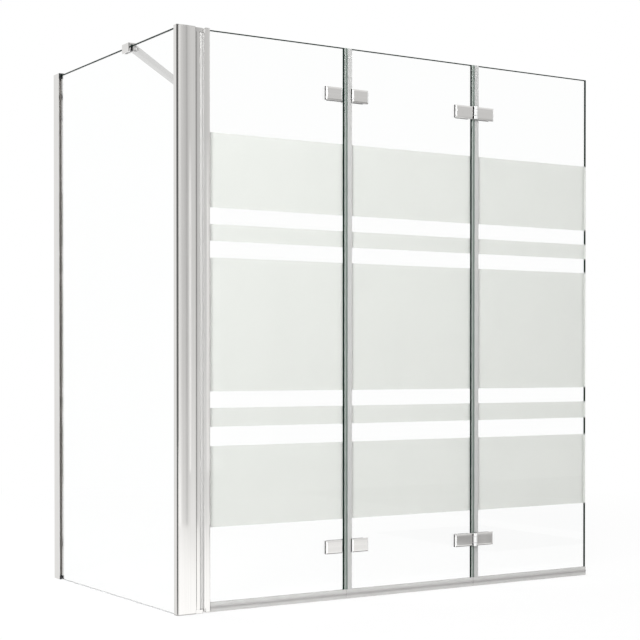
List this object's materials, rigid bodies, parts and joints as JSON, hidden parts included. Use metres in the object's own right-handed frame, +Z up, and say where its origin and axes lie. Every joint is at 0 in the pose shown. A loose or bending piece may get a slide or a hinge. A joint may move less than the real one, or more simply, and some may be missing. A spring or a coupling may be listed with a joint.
{
  "type": "folding bath screen",
  "caption": "L-shaped bath screen: a fixed side pane with a stabiliser bar, a corner post, and hinged glass leaves with frosted bands that fold like a concertina.",
  "frame": {"origin": "on the foot of the corner post at the level of the bath rim, where the mid-plane of the side pane crosses the mid-plane of the leaves", "axes": "+X along the front from the post to the free edge, +Y from the front back to the wall, +Z up"},
  "size_m": [1.3, 0.759, 1.423],
  "materials": {
    "glass": "clear float glass, polished edges",
    "frost": "frosted white print",
    "profile": "bright polished",
    "bar": "polished chrome",
    "hinge": "polished chrome",
    "steel": "plain",
    "seal": "translucent soft plastic",
    "pad": "dark grey",
    "black": "black moulded",
    "rubber": "grey"
  },
  "bodies": {
    "frame": {"wall_channel": "profile", "wall_channel_caps": "black", "wall_channel_gaskets": "rubber", "side_glass": "glass", "side_sill_strip": "seal", "corner_post": "profile", "post_top_cap": "profile", "post_foot_cap": "profile", "post_gaskets": "seal", "adjuster_profile": "profile", "adjuster_screws": "steel", "pivot_bearing_top": "profile", "pivot_bearing_bottom": "profile", "bearing_screws": "steel", "pivot_pins": "steel", "bar_clamp": "bar", "bar_clamp_liner": "black", "bar_clamp_screws": "steel", "stabiliser_bar": "bar", "bar_fork_glass_end": "bar", "bar_fork_wall_end": "bar", "bar_pivot_screws": "steel", "wall_bracket": "bar"},
    "leaf_1": {"pivot_profile": "profile", "pivot_profile_caps": "profile", "pivot_bushes": "black", "leaf_1_glass": "glass", "leaf_1_print": "frost", "leaf_1_gasket": "seal", "leaf_1_bottom_seal": "seal", "hinge_1_fixed_plates": "hinge", "hinge_1_pins": "steel", "hinge_1_washers": "black", "hinge_1_fixed_covers": "hinge", "hinge_1_fixed_pads": "pad", "hinge_1_fixed_screws": "steel"},
    "leaf_2": {"leaf_2_glass": "glass", "leaf_2_print": "frost", "leaf_2_bottom_seal": "seal", "leaf_2_edge_seal": "seal", "hinge_1_moving_plates": "hinge", "hinge_1_moving_covers": "hinge", "hinge_1_moving_pads": "pad", "hinge_1_moving_screws": "steel", "hinge_2_fixed_plates": "hinge", "hinge_2_pins": "steel", "hinge_2_washers": "black", "hinge_2_fixed_covers": "hinge", "hinge_2_fixed_pads": "pad", "hinge_2_fixed_screws": "steel"},
    "leaf_3": {"leaf_3_glass": "glass", "leaf_3_print": "frost", "leaf_3_bottom_seal": "seal", "leaf_3_edge_seal": "seal", "hinge_2_moving_plates": "hinge", "hinge_2_moving_covers": "hinge", "hinge_2_moving_pads": "pad", "hinge_2_moving_screws": "steel"}
  },
  "joints": [
    {"name": "leaf_1_swing", "type": "hinge", "parent": "frame", "child": "leaf_1", "pos_m": [0.0615, -0.0067, 0], "axis": [0, 0, 1], "range_deg": [-90, 30]},
    {"name": "leaf_2_fold", "type": "hinge", "parent": "leaf_1", "child": "leaf_2", "pos_m": [0.479, 0.0115, 0], "axis": [0, 0, 1], "range_deg": [0, 180]},
    {"name": "leaf_3_fold", "type": "hinge", "parent": "leaf_2", "child": "leaf_3", "pos_m": [0.887, -0.0115, 0], "axis": [0, 0, 1], "range_deg": [-180, 0]}
  ],
  "couplings": [
    {"joint": "leaf_3_fold", "follows": "leaf_2_fold", "ratio": -1}
  ]
}
